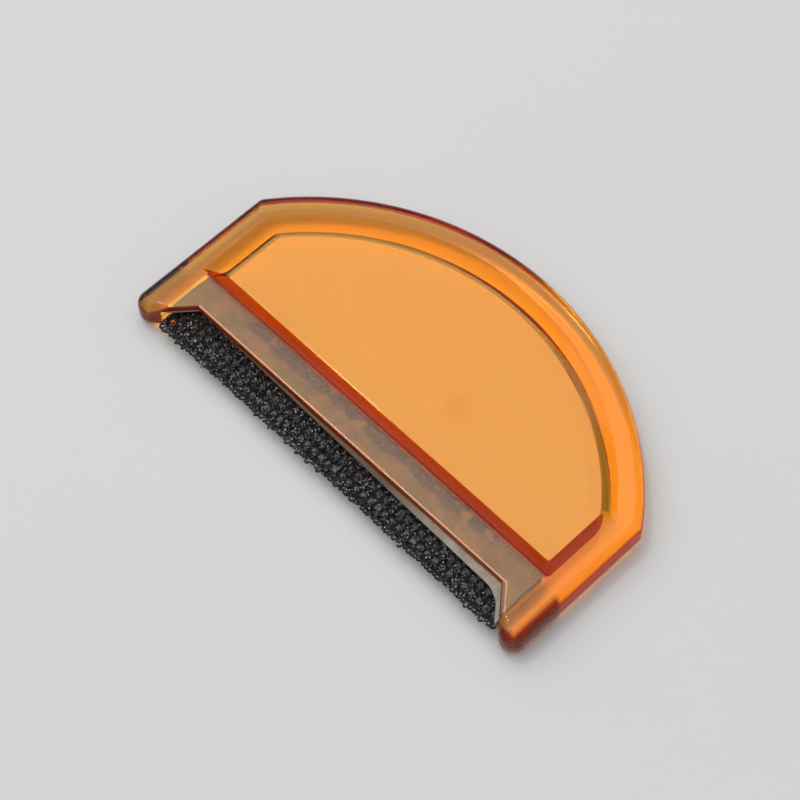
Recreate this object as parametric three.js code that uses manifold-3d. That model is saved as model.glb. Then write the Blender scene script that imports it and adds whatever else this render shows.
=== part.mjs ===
// Hand lint shaver (sweater comb): two translucent half shells, bonded at mid height, clamp the
// bound back edge of a coarse black net, whose bare front edge stands out between two horns.
// Each half has a solid rim round a thumb recess with a thin floor, and half of the slot for the net.
// Millimetres, +Z up. X runs along the mouth, -Y points out of the mouth, Z = 0 is the table.

import * as THREE from "three";
import { mergeVertices } from "three/addons/utils/BufferGeometryUtils.js";
import Module from "manifold-3d";

const wasm = await Module();
wasm.setup();

// Overall size
const WIDTH = 95;
const DEPTH = 55.4;
const THICKNESS = 6.2;

// Outline, measured from the horn tips towards the back
const SIDE_LENGTH = 31.1;
const HORN_RADIUS = 2.5;
const EDGE_ROUND = 2.0;
const LIP_DEPTH = 7.1;
const LIP_END_INSET = 9.8;

// Floor of the recess, and the gap at the seam
const WEB = 0.8;
const SEAM_GAP = 0.3;

// Thumb recess on each face
const RIM_WIDTH = 5.2;
const RECESS_FRONT = 13.0;
const RECESS_WALL_RUN = 2.0;
const RECESS_FRONT_RUN = 3.0;
const RECESS_CORNER = 3.0;
const RECESS_FRONT_CORNER = 0.8;
const RECESS_EDGE = 0.5;

// Pocket behind the lips
const POCKET_END_WALL = 5.3;
const POCKET_BACK_WALL = 1.3;

// Coarse net: straight strands along the mouth and leaning strands across it
const NET_THICKNESS = 1.0;
const NET_FRONT = 1.2;
const NET_BACK_CLEARANCE = 2.8;
const NET_END_CLEARANCE = 0.8;
const NET_COLUMNS = 47;
const NET_ROWS = 4;
const NET_STRAND_ALONG = 1.2;
const NET_STRAND_ACROSS = 1.05;
const NET_LEAN = 0.25;

// Binding tape, folded round the back edge of the net. It lies askew: its front edge hides under
// the lip at the left and stands out at the right.
const TAPE_THICKNESS = 0.4;
const TAPE_CLEARANCE = 0.15;
const TAPE_END_CLEARANCE = 0.4;
const TAPE_BACK_CLEARANCE = 0.3;
const TAPE_SKEW = 0.9;
const TAPE_HIDDEN = 0.4;
const TAPE_SHOWN = 1.4;
const TAPE_END_SHOWN = 0.75;
const TAPE_BEND_INSET = 1.3;
const TAPE_BEND_DROP = 1.3;

// Adhesive beds between the tape and each lip
const ADHESIVE_THICKNESS = 0.45;
const ADHESIVE_GAP = 0.15;
const ADHESIVE_FRONT = 1.3;
const ADHESIVE_END = 2.3;
const ADHESIVE_WAVE = 0.35;
const ADHESIVE_WAVES = 7;
const ADHESIVE_STEPS = 40;

// Facets
const BACK_STEPS = 44;
const CORNER_STEPS = 6;
const ROUND_STEPS = 5;
const LEAST_CORNER = 0.1;
const OVERCUT = 1.0;

const half = THICKNESS / 2;
const seamZ = SEAM_GAP / 2;
const floorZ = seamZ + WEB;

// The mouth ends in a straight slant from the lip to the round nose of each horn. An offset is
// measured square to the slant, towards the horn.
const lipEnd = new THREE.Vector2(WIDTH / 2 - LIP_END_INSET, LIP_DEPTH);
const nose = new THREE.Vector2(WIDTH / 2 - HORN_RADIUS, HORN_RADIUS);
const toNose = nose.clone().sub(lipEnd);
const slantAngle = toNose.angle() - Math.asin(HORN_RADIUS / toNose.length());
function slantX(y, offset) {
  return lipEnd.x + (y - lipEnd.y) / Math.tan(slantAngle) - offset / Math.sin(slantAngle);
}
function slantY(x, offset) {
  return lipEnd.y + (x - slantX(lipEnd.y, offset)) * Math.tan(slantAngle);
}

// Stack in the slot, from the mid plane up: net, tape, adhesive, lip
const tapeInner = NET_THICKNESS / 2 + TAPE_CLEARANCE;
const tapeOuter = tapeInner + TAPE_THICKNESS;
const adhesiveBottom = tapeOuter + ADHESIVE_GAP;
const slotHalf = adhesiveBottom + ADHESIVE_THICKNESS + ADHESIVE_GAP;

// The pocket ends a wall's run before the sloping front of the recess
const slopeShare = (half - slotHalf) / (half - floorZ);
const pocketX = WIDTH / 2 - POCKET_END_WALL;
const pocketBack = RECESS_FRONT + RECESS_FRONT_RUN * slopeShare - POCKET_BACK_WALL;
const tapeX = pocketX - TAPE_END_CLEARANCE;
const tapeBackLeft = pocketBack - TAPE_BACK_CLEARANCE;
const tapeBackRight = tapeBackLeft - TAPE_SKEW;

const amber = { color: 0xe08a2e, roughness: 0.16, metalness: 0 };
const tapeGrey = { color: 0xb3aaa0, roughness: 0.85, metalness: 0 };
const netBlack = { color: 0x17171a, roughness: 0.35, metalness: 0 };
const glueAmber = { color: 0xa98a6c, roughness: 0.45, metalness: 0 };

// Radius of the back arc that joins two sides of the given half width at the given place
function backRadius(halfWidth, sideEnd, apex) {
  const rise = apex - sideEnd;
  return (halfWidth * halfWidth + rise * rise) / (2 * rise);
}

const outerRadius = backRadius(WIDTH / 2, SIDE_LENGTH, DEPTH);
const arcCentre = DEPTH - outerRadius;

function addBackArc(points, halfWidth, radius) {
  const reach = Math.asin(halfWidth / radius);
  for (let i = 0; i <= BACK_STEPS; i++) {
    const angle = reach - (2 * reach * i) / BACK_STEPS;
    points.push(new THREE.Vector2(radius * Math.sin(angle), arcCentre + radius * Math.cos(angle)));
  }
}

function addCorner(points, cx, cy, radius, from, to) {
  for (let i = 0; i <= CORNER_STEPS; i++) {
    const angle = from + ((to - from) * i) / CORNER_STEPS;
    points.push(new THREE.Vector2(cx + radius * Math.cos(angle), cy + radius * Math.sin(angle)));
  }
}

// Closed D with a straight front, drawn in by an inset on every side, anticlockwise
function bodyOutline(inset) {
  const halfWidth = WIDTH / 2 - inset;
  const corner = Math.max(HORN_RADIUS - inset, LEAST_CORNER);
  const points = [];
  addCorner(points, halfWidth - corner, inset + corner, corner, -Math.PI / 2, 0);
  addBackArc(points, halfWidth, outerRadius - inset);
  addCorner(points, -halfWidth + corner, inset + corner, corner, Math.PI, 1.5 * Math.PI);
  return points;
}

// Plan of the mouth: a straight lip, two slanting ends, and the inner halves of the round horn noses
function mouthOutline() {
  const right = [new THREE.Vector2(nose.x, -OVERCUT)];
  addCorner(right, nose.x, nose.y, HORN_RADIUS, 1.5 * Math.PI, slantAngle - Math.PI / 2);
  right.push(lipEnd);
  const left = right.map((p) => new THREE.Vector2(-p.x, p.y)).reverse();
  return [...right, ...left];
}

// Plan of the thumb recess, spread outwards by side and front amounts
function recessOutline(sideSpread, frontSpread) {
  const halfWidth = WIDTH / 2 - RIM_WIDTH - RECESS_WALL_RUN + sideSpread;
  const radius = outerRadius - RIM_WIDTH - RECESS_WALL_RUN + sideSpread;
  const front = RECESS_FRONT + RECESS_FRONT_RUN - frontSpread;
  const inner = radius - RECESS_CORNER;
  const cx = halfWidth - RECESS_CORNER;
  const cy = arcCentre + Math.sqrt(inner * inner - cx * cx);
  const bend = Math.atan2(cy - arcCentre, cx);
  const near = RECESS_FRONT_CORNER;
  const points = [];
  addCorner(points, halfWidth - near, front + near, near, -Math.PI / 2, 0);
  addCorner(points, cx, cy, RECESS_CORNER, 0, bend);
  for (let i = 1; i < BACK_STEPS; i++) {
    const angle = bend + ((Math.PI - 2 * bend) * i) / BACK_STEPS;
    points.push(new THREE.Vector2(radius * Math.cos(angle), arcCentre + radius * Math.sin(angle)));
  }
  addCorner(points, -cx, cy, RECESS_CORNER, Math.PI - bend, Math.PI);
  addCorner(points, -halfWidth + near, front + near, near, Math.PI, 1.5 * Math.PI);
  return points;
}

// Closed solid through rings of equal point counts, from the lowest to the highest
function loft(rings) {
  const count = rings[0].points.length;
  const positions = rings.flatMap((ring) => ring.points.flatMap((p) => [p.x, p.y, ring.z]));
  const index = [];
  for (let r = 0; r + 1 < rings.length; r++) {
    for (let i = 0; i < count; i++) {
      const a = r * count + i;
      const b = r * count + ((i + 1) % count);
      index.push(a, b, b + count, a, b + count, a + count);
    }
  }
  const top = (rings.length - 1) * count;
  for (const [a, b, c] of THREE.ShapeUtils.triangulateShape(rings[0].points, [])) {
    index.push(a, c, b);
  }
  for (const [a, b, c] of THREE.ShapeUtils.triangulateShape(rings[rings.length - 1].points, [])) {
    index.push(top + a, top + b, top + c);
  }
  const geometry = new THREE.BufferGeometry();
  geometry.setAttribute("position", new THREE.Float32BufferAttribute(positions, 3));
  geometry.setIndex(index);
  return geometry;
}

function prism(points, bottom, top) {
  return loft([
    { points, z: bottom },
    { points, z: top },
  ]);
}

// D shaped body with all its upper and lower edges rounded, centred on the mid plane
function pillow() {
  const rings = [];
  for (let i = 0; i <= ROUND_STEPS; i++) {
    const angle = (Math.PI / 2) * (i / ROUND_STEPS);
    const inset = EDGE_ROUND * (1 - Math.sin(angle));
    rings.push({ points: bodyOutline(inset), z: -half + EDGE_ROUND * (1 - Math.cos(angle)) });
  }
  const upper = rings.map((ring) => ({ points: ring.points, z: -ring.z })).reverse();
  return loft([...rings, ...upper]);
}

// Plug with sloping sides and a broken upper edge, which leaves the recess behind
function recessPlug() {
  const edge = RECESS_EDGE / 2;
  const wall = (spread) => recessOutline(RECESS_WALL_RUN + spread, RECESS_FRONT_RUN + spread);
  return loft([
    { points: recessOutline(0, 0), z: floorZ },
    { points: wall(-edge), z: half - RECESS_EDGE },
    { points: wall(edge), z: half },
    { points: wall(edge), z: half + OVERCUT },
  ]);
}

function box(x0, x1, y0, y1, z0, z1) {
  const geometry = new THREE.BoxGeometry(x1 - x0, y1 - y0, z1 - z0);
  return geometry.translate((x0 + x1) / 2, (y0 + y1) / 2, (z0 + z1) / 2);
}

function toSolid(geometry) {
  const bare = geometry.clone();
  bare.deleteAttribute("normal");
  bare.deleteAttribute("uv");
  const merged = mergeVertices(bare);
  return new wasm.Manifold(new wasm.Mesh({
    numProp: 3,
    vertProperties: new Float32Array(merged.attributes.position.array),
    triVerts: new Uint32Array(merged.index.array),
  }));
}

function toGeometry(solid) {
  const mesh = solid.getMesh();
  const geometry = new THREE.BufferGeometry();
  geometry.setAttribute("position", new THREE.BufferAttribute(new Float32Array(mesh.vertProperties), 3));
  geometry.setIndex(new THREE.BufferAttribute(new Uint32Array(mesh.triVerts), 1));
  geometry.computeVertexNormals();
  return geometry;
}

// One half shell above the mid plane: rounded rim, recess with its web, and half of the slot
function shellGeometry() {
  const mouth = toSolid(prism(mouthOutline(), -half, half + OVERCUT));
  const lowerHalf = toSolid(box(-WIDTH, WIDTH, -OVERCUT, DEPTH + OVERCUT, -half - OVERCUT, seamZ));
  const pocket = toSolid(box(-pocketX, pocketX, -OVERCUT, pocketBack, -half, slotHalf));
  return toGeometry(toSolid(pillow())
    .subtract(lowerHalf)
    .subtract(mouth)
    .subtract(toSolid(recessPlug()))
    .subtract(pocket));
}

// Tape folded over the back edge of the net. The front edge follows the mouth, but not square to it.
function tapeGeometry() {
  const hidden = LIP_DEPTH + TAPE_HIDDEN;
  const shown = LIP_DEPTH - TAPE_SHOWN;
  const plan = [
    new THREE.Vector2(-tapeX, slantY(tapeX, TAPE_HIDDEN)),
    new THREE.Vector2(-slantX(hidden, TAPE_HIDDEN), hidden),
    new THREE.Vector2(lipEnd.x - TAPE_BEND_INSET, shown),
    new THREE.Vector2(slantX(shown - TAPE_BEND_DROP, -TAPE_END_SHOWN), shown - TAPE_BEND_DROP),
    new THREE.Vector2(tapeX, slantY(tapeX, -TAPE_END_SHOWN)),
    new THREE.Vector2(tapeX, tapeBackRight),
    new THREE.Vector2(-tapeX, tapeBackLeft),
  ];
  const room = [
    new THREE.Vector2(-tapeX - OVERCUT, -OVERCUT),
    new THREE.Vector2(tapeX + OVERCUT, -OVERCUT),
    new THREE.Vector2(tapeX + OVERCUT, tapeBackRight - TAPE_THICKNESS),
    new THREE.Vector2(-tapeX - OVERCUT, tapeBackLeft - TAPE_THICKNESS),
  ];
  const fold = toSolid(prism(plan, -tapeOuter, tapeOuter));
  return toGeometry(fold.subtract(toSolid(prism(room, -tapeInner, tapeInner))));
}

// Bed of adhesive between the tape and a lip, with uneven edges where it was pressed out
function adhesiveGeometry() {
  const wave = (t, phase) => ADHESIVE_WAVE * Math.sin(2 * Math.PI * ADHESIVE_WAVES * t + phase);
  const length = 2 * (tapeX - ADHESIVE_END);
  const front = [];
  const rear = [];
  for (let i = 0; i <= ADHESIVE_STEPS; i++) {
    const t = i / ADHESIVE_STEPS;
    const x = (t - 0.5) * length;
    front.push(new THREE.Vector2(x, LIP_DEPTH + ADHESIVE_FRONT + ADHESIVE_WAVE + wave(t, 0)));
    rear.push(new THREE.Vector2(x, tapeBackRight - ADHESIVE_WAVE + wave(t, Math.PI / 2)));
  }
  return prism([...front, ...rear.reverse()], adhesiveBottom, adhesiveBottom + ADHESIVE_THICKNESS);
}

// Flat net with open gaps: in the grid, a cell is open where both its column and its row are odd
function netGeometry() {
  const length = 2 * (pocketX - NET_END_CLEARANCE);
  const back = pocketBack - NET_BACK_CLEARANCE;
  const columns = 2 * NET_COLUMNS + 1;
  const rows = 2 * NET_ROWS + 1;
  const pitchX = (length - NET_STRAND_ACROSS) / NET_COLUMNS;
  const pitchY = (back - NET_FRONT - NET_STRAND_ALONG) / NET_ROWS;
  const stride = columns + 1;
  const positions = [];
  for (const z of [NET_THICKNESS / 2, -NET_THICKNESS / 2]) {
    for (let j = 0; j <= rows; j++) {
      const y = NET_FRONT + Math.floor(j / 2) * pitchY + (j % 2) * NET_STRAND_ALONG;
      const sway = Math.floor(j / 2) % 2 === 0 ? NET_LEAN : -NET_LEAN;
      for (let i = 0; i <= columns; i++) {
        const straight = -length / 2 + Math.floor(i / 2) * pitchX + (i % 2) * NET_STRAND_ACROSS;
        positions.push(i > 0 && i < columns ? straight + sway : straight, y, z);
      }
    }
  }
  const under = stride * (rows + 1);
  const isStrand = (i, j) => i % 2 === 0 || j % 2 === 0;
  const inNet = (i, j) => i >= 0 && j >= 0 && i < columns && j < rows;
  const index = [];
  const quad = (a, b, c, d) => index.push(a, b, c, a, c, d);
  for (let j = 0; j < rows; j++) {
    for (let i = 0; i < columns; i++) {
      if (!isStrand(i, j)) {
        continue;
      }
      const a = j * stride + i;
      const b = a + 1;
      const c = b + stride;
      const d = a + stride;
      quad(a, b, c, d);
      quad(a + under, d + under, c + under, b + under);
      const edges = [[i, j - 1, b, a], [i, j + 1, d, c], [i - 1, j, a, d], [i + 1, j, c, b]];
      for (const [ni, nj, from, to] of edges) {
        if (!inNet(ni, nj) || !isStrand(ni, nj)) {
          quad(from, to, to + under, from + under);
        }
      }
    }
  }
  const geometry = new THREE.BufferGeometry();
  geometry.setAttribute("position", new THREE.Float32BufferAttribute(positions, 3));
  geometry.setIndex(index);
  geometry.computeVertexNormals();
  return geometry;
}

function piece(name, geometry, finish) {
  const mesh = new THREE.Mesh(geometry, new THREE.MeshStandardMaterial(finish));
  mesh.name = name;
  return mesh;
}

// Everything above the mid plane has a twin below it, turned over about the Y axis
function turnedOver(name, geometry, finish) {
  const mesh = piece(name, geometry, finish);
  mesh.rotation.y = Math.PI;
  return mesh;
}

const shell = shellGeometry();
const adhesive = adhesiveGeometry();

const comb = new THREE.Group();
comb.add(piece("upper_shell", shell, amber));
comb.add(turnedOver("lower_shell", shell, amber));
comb.add(piece("binding_tape", tapeGeometry(), tapeGrey));
comb.add(piece("mesh_strip", netGeometry(), netBlack));
comb.add(piece("upper_adhesive", adhesive, glueAmber));
comb.add(turnedOver("lower_adhesive", adhesive, glueAmber));
comb.position.set(0, -DEPTH / 2, half);

const lintShaver = new THREE.Group();
lintShaver.add(comb);

export default lintShaver;
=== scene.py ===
import math
import random

import bpy
import numpy as np
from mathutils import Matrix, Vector


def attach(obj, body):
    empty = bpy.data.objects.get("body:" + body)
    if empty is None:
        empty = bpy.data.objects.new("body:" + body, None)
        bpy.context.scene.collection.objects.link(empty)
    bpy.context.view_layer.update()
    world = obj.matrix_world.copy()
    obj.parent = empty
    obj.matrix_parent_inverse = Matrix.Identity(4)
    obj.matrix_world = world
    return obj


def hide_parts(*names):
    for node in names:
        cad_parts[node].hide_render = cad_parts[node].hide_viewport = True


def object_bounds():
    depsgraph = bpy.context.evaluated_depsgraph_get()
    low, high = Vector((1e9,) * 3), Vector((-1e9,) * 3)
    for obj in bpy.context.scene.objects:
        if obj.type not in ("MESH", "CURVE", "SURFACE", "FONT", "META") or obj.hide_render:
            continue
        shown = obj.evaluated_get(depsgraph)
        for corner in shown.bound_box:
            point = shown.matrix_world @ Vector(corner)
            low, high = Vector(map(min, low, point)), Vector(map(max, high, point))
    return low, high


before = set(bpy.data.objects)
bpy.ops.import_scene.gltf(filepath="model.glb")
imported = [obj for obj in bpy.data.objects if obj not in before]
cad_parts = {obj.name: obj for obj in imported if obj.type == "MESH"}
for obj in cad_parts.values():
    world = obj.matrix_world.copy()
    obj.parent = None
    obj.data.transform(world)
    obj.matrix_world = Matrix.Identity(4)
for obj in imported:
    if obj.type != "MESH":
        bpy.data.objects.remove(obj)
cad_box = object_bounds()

random.seed(7)

# Sizes in millimetres. Plan y runs from the horn tips to the back, and z from the mid plane up.
MM = 0.001
WIDTH, DEPTH, THICKNESS = (cad_box[1] - cad_box[0]) / MM
HALF = THICKNESS / 2

# Outline of the handle
SIDE_LENGTH = 31.1
HORN_RADIUS = 2.5
SIDE_CORNER = 2.2
LIP_DEPTH = 7.1
LIP_END_INSET = 9.8
EDGE_ROUND = 2.0
LIP_EDGE = 0.32
SEAM_GAP = 0.05
SEAM_TOLERANCE = 1e-4
SEAM_GROOVE = 0.07
FLAT_MARGIN = 0.1

# Web under the recess
WEB = 0.8
WEB_GAP = 0.3
FUSED_RING = 1.3
FUSED_FADE = 1.0
FUSED_FRONT_FADE = 0.2
FUSED_LEAST = 0.005

# Thumb recess
RIM_WIDTH = 4.6
RECESS_FRONT = 13.0
RECESS_WALL_RUN = 2.8
RECESS_FRONT_RUN = 3.0
RECESS_CORNER = 3.0
RECESS_BRINK_CORNER = 0.6
RECESS_FOOT_CORNER = 1.0
RECESS_EDGE = 0.7
RECESS_FRONT_EDGE = 0.4
RECESS_FILLET = 0.25

# Slot
SLOT_HALF = 1.8
POCKET_END_WALL = 5.3
POCKET_BACK = 13.5

# Net of plaited strands, with knots where they cross and a flat loop, the eye, in each cell
NET_COLUMNS = 47
NET_ROWS = 4
NET_END = 40.8
NET_FIRST_ROW = 1.85
NET_LAST_ROW = 10.2
NET_BACK = 10.6
STRAND_RADIUS = 0.22
STRAND_STEP = 0.24
STRAND_SIDES = 5
PLAIT = 3
PLAIT_WIDTH = 0.42
PLAIT_RISE = 0.17
PLAIT_SHIFT = 0.3
NET_JITTER = 0.07
WANDER_RATE = 0.8
KNOT_LOOPS = 2
KNOT_RADIUS = 0.5
KNOT_STRAND = 0.2
KNOT_RISE = (0.5, 1.2)
KNOT_SPREAD = (0.8, 1.1)
KNOT_STEPS = 10
EYE_RADIUS = 0.6
EYE_STRAND = 0.17
EYE_TILT = 0.15
HOOK_FOOT = 1.45
HOOK_TIP = 0.85
HOOK_REACH = 0.3
LONG_HOOK_REACH = 0.6
LONG_HOOK_SHARE = 0.12
HOOK_WIDTHS = (0.45, 0.35)
HOOK_LEAN = 0.15
HOOK_HEIGHT = (-0.15, 0.25)
HOOK_TWIST = 0.12
HOOK_STEPS = 9

# Binding tape, folded round the back of the net
TAPE_OUTER = 1.05
TAPE_INNER = 0.65
TAPE_END = 41.8
TAPE_LEFT_BEND = (-37.88, 7.5)
TAPE_RIGHT_BEND = (36.4, 5.7)
TAPE_NOSE = (39.05, 4.4)
TAPE_BACK_LEFT = 13.2
TAPE_BACK_RIGHT = 12.3
TAPE_EDGE = 0.12
TAPE_BEND_SOFTNESS = 0.12
TAPE_STATIONS = 330
TAPE_STEPS = 14
FOLD_STEPS = 8
EMBOSS = 0.05
EMBOSS_Y = 9.7
EMBOSS_REACH = 0.5

# Beds of dried adhesive between tape and lips
BED_BOTTOM = 1.2
BED_TOP = 1.62
BED_END = 41.6
BED_FRONT = 7.35
BED_BACK = 13.2
BED_WAVE = 0.1
BED_WAVE_RATES = (0.35, 0.9, 2.1, 0.28, 1.1, 2.6)
BED_WAVE_SHARES = (1, 0.5, 0.3)
BED_RIPPLES = ((0.03, 3.1, 1.7), (0.02, 5.3, -2.9))
BED_BRINK = 0.02
BED_STATIONS = 150
BED_STEPS = 10

# Angles in degrees beyond which an edge is shaded sharp
SHELL_SHARP = 30
FINE_SHARP = 60

# Stations round the outline
LIP_STEPS = 80
SLANT_STEPS = 10
NOSE_STEPS = 18
SIDE_STEPS = 24
CORNER_STEPS = 8
ARC_STEPS = 120
ROUND_STEPS = 10
FILLET_STEPS = 5
REST_STEPS = SIDE_STEPS + CORNER_STEPS + ARC_STEPS + 1

FLOOR_Z = WEB_GAP / 2 + WEB
ARC_RISE = DEPTH - SIDE_LENGTH
ARC_RADIUS = ((WIDTH / 2) ** 2 + ARC_RISE ** 2) / (2 * ARC_RISE)
ARC_CENTRE = DEPTH - ARC_RADIUS
LIP_END = WIDTH / 2 - LIP_END_INSET
POCKET_X = WIDTH / 2 - POCKET_END_WALL

TO_NOSE = Vector((WIDTH / 2 - HORN_RADIUS - LIP_END, HORN_RADIUS - LIP_DEPTH))
SLANT = math.atan2(TO_NOSE.y, TO_NOSE.x) - math.asin(HORN_RADIUS / TO_NOSE.length)


def at_y(y):
    """Plan y in metres of the shared frame."""
    return (y - DEPTH / 2) * MM


def place(points):
    """Plan millimetres to metres in the shared frame."""
    return (np.asarray(points, float) + (0, -DEPTH / 2, HALF)) * MM


# Outlines as stations


def line(p, q, count):
    """Points from p towards q, without q."""
    t = np.arange(count)[:, None] / count
    return np.asarray(p) * (1 - t) + np.asarray(q) * t


def arc(centre, radius, start, end, count, closed=False):
    """Points on an arc from start towards end, with the last one only if closed."""
    angle = start + (end - start) * np.arange(count + closed) / count
    return np.asarray(centre) + radius * np.stack([np.cos(angle), np.sin(angle)], 1)


def whole_loop(front, right):
    """Closed loop from a front edge and the right half, which ends at the back's middle."""
    left = right[::-1] * (-1, 1)
    return np.concatenate([front, right, left[1:-1]])


def fillet_angle(half_width, radius, corner):
    """Where the corner between a side and the back arc is centred, and how far it turns."""
    cx = half_width - corner
    cy = ARC_CENTRE + math.sqrt((radius - corner) ** 2 - cx ** 2)
    return (cx, cy), math.atan2(cy - ARC_CENTRE, cx)


def outer_loop(inset):
    half_width = WIDTH / 2 - inset
    run = inset * (1 - math.cos(SLANT)) / -math.sin(SLANT)
    lip = np.array([LIP_END + run, LIP_DEPTH + inset])
    nose = (WIDTH / 2 - HORN_RADIUS, HORN_RADIUS)
    corner, turn = fillet_angle(WIDTH / 2, ARC_RADIUS, SIDE_CORNER)
    nose_arc = arc(nose, HORN_RADIUS - inset, SLANT - math.pi / 2, 0, NOSE_STEPS)
    right = np.concatenate([
        line(lip, nose_arc[0], SLANT_STEPS),
        nose_arc,
        line((half_width, HORN_RADIUS), (half_width, corner[1]), SIDE_STEPS),
        arc(corner, SIDE_CORNER - inset, 0, turn, CORNER_STEPS),
        arc((0, ARC_CENTRE), ARC_RADIUS - inset, turn, math.pi / 2, ARC_STEPS, True),
    ])
    return whole_loop(line(lip * (-1, 1), lip, LIP_STEPS), right)


def recess_loop(side_spread, front_spread):
    half_width = WIDTH / 2 - RIM_WIDTH - RECESS_WALL_RUN + side_spread
    radius = ARC_RADIUS - RIM_WIDTH - RECESS_WALL_RUN + side_spread
    front = RECESS_FRONT + RECESS_FRONT_RUN - front_spread
    share = min(max(side_spread / RECESS_WALL_RUN, 0), 1)
    near = RECESS_FOOT_CORNER + (RECESS_BRINK_CORNER - RECESS_FOOT_CORNER) * share
    corner, turn = fillet_angle(half_width, radius, RECESS_CORNER)
    right = np.concatenate([
        arc((half_width - near, front + near), near, -math.pi / 2, 0, SLANT_STEPS + NOSE_STEPS),
        line((half_width, front + near), (half_width, corner[1]), SIDE_STEPS),
        arc(corner, RECESS_CORNER, 0, turn, CORNER_STEPS),
        arc((0, ARC_CENTRE), radius, turn, math.pi / 2, ARC_STEPS, True),
    ])
    start = np.array([near - half_width, front])
    return whole_loop(line(start, start * (-1, 1), LIP_STEPS), right)


def along_loop(lip, right):
    """One value per station: one for the whole lip, those of the right half, and the same on the left."""
    return np.concatenate([np.full(LIP_STEPS, float(lip)), right, right[::-1][1:-1]])


def smooth(t):
    t = np.clip(t, 0, 1)
    return t * t * (3 - 2 * t)


# Meshes


def make_object(name, points, faces):
    mesh = bpy.data.meshes.new(name)
    mesh.from_pydata([tuple(p) for p in points], [], faces)
    mesh.update()
    piece = bpy.data.objects.new(name, mesh)
    bpy.context.scene.collection.objects.link(piece)
    return piece


def bands(rings, count, flip=False):
    """Faces between neighbouring closed rings of points."""
    faces = []
    for start in range(0, (rings - 1) * count, count):
        for i in range(count):
            a, b = start + i, start + (i + 1) % count
            if flip:
                a, b = b, a
            faces.append((a, b, b + count, a + count))
    return faces


def loft(name, rings):
    """Closed solid through rings of equal counts, with a flat cap on the first and the last."""
    count = len(rings[0])
    faces = bands(len(rings), count)
    faces.append(tuple(range(count - 1, -1, -1)))
    faces.append(tuple(range((len(rings) - 1) * count, len(rings) * count)))
    return make_object(name, np.concatenate(rings), faces)


def ring(loop, z):
    return np.column_stack([loop, np.broadcast_to(z, len(loop))])


def box(name, x0, x1, y0, y1, z0, z1):
    loop = np.array([(x0, y0), (x1, y0), (x1, y1), (x0, y1)], float)
    return loft(name, [ring(loop, z0), ring(loop, z1)])


def cut(piece, *tools):
    """Takes the tools out of the piece and removes them."""
    for tool in tools:
        step = piece.modifiers.new("cut", "BOOLEAN")
        step.object = tool
        step.operation = "DIFFERENCE"
        step.solver = "MANIFOLD"
        graph = bpy.context.evaluated_depsgraph_get()
        mesh = bpy.data.meshes.new_from_object(piece.evaluated_get(graph))
        piece.modifiers.clear()
        piece.data = mesh
        bpy.data.objects.remove(tool)
    return piece


def recess_profile(run, edge):
    """Spread and height down the recess wall, with a rounded brink and a fillet at the floor."""
    wall = math.atan2(HALF - FLOOR_Z, run)
    brink = edge * math.tan(wall / 2)
    foot = RECESS_FILLET * math.tan(wall / 2)
    points = [(run + brink + FLAT_MARGIN, HALF)]
    for i in range(FILLET_STEPS + 1):
        turn = wall * i / FILLET_STEPS
        drop = edge * (1 - math.cos(turn))
        points.append((run + brink - edge * math.sin(turn), HALF - drop))
    for i in range(FILLET_STEPS + 1):
        turn = wall * (1 - i / FILLET_STEPS)
        rise = RECESS_FILLET * (1 - math.cos(turn))
        points.append((-foot + RECESS_FILLET * math.sin(turn), FLOOR_Z + rise))
    points.append((-foot - FLAT_MARGIN, FLOOR_Z))
    return np.array(points)


def shell_object(name):
    """One half shell above the mid plane, in plan millimetres."""
    slant = np.arange(SLANT_STEPS) / SLANT_STEPS
    widening = LIP_EDGE + (EDGE_ROUND - LIP_EDGE) * smooth(2 * slant - 1)
    edge = along_loop(LIP_EDGE, np.concatenate([widening, np.full(NOSE_STEPS + REST_STEPS, EDGE_ROUND)]))
    outline = outer_loop(0)
    inward = (outer_loop(EDGE_ROUND) - outline) / EDGE_ROUND
    rings = [
        ring(outline + inward * SEAM_GROOVE, SEAM_GAP / 2),
        ring(outline, SEAM_GAP / 2 + SEAM_GROOVE),
    ]
    for i in range(ROUND_STEPS + 1):
        turn = math.pi / 2 * i / ROUND_STEPS
        draw = edge * (1 - math.cos(turn))
        rings.append(ring(outline + inward * draw[:, None], HALF - edge + edge * math.sin(turn)))
    rings.append(ring(outline + inward * (edge + FLAT_MARGIN)[:, None], HALF))
    corner = 1 - np.arange(SLANT_STEPS + NOSE_STEPS) / (SLANT_STEPS + NOSE_STEPS)
    at_front = along_loop(1, np.concatenate([corner, np.zeros(REST_STEPS)]))
    side_profile = recess_profile(RECESS_WALL_RUN, RECESS_EDGE)
    front_profile = recess_profile(RECESS_FRONT_RUN, RECESS_FRONT_EDGE)
    for side, front in zip(side_profile, front_profile):
        z = side[1] + (front[1] - side[1]) * at_front
        rings.append(ring(recess_loop(side[0], front[0]), z))
    shell = cut(loft(name, rings), pocket(), web_gap())
    for face in shell.data.polygons:
        heights = (shell.data.vertices[k].co.z for k in face.vertices)
        on_seam = all(abs(z - SEAM_GAP / 2) < SEAM_TOLERANCE for z in heights)
        face.material_index = 1 if on_seam else 0
    return shell


def pocket():
    return box("pocket", -POCKET_X, POCKET_X, -WIDTH, POCKET_BACK, -HALF, SLOT_HALF)


def web_gap():
    """The air between the two webs. It thins out to the sides and the back, where the webs are fused."""
    edge = recess_loop(-FUSED_RING, 0)
    inner = recess_loop(-FUSED_RING - FUSED_FADE, -FUSED_FRONT_FADE)
    brink = ring(edge, SEAM_GAP / 2 + FUSED_LEAST)
    return loft("web_gap", [ring(edge, -HALF), brink, ring(inner, WEB_GAP / 2)])


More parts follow.
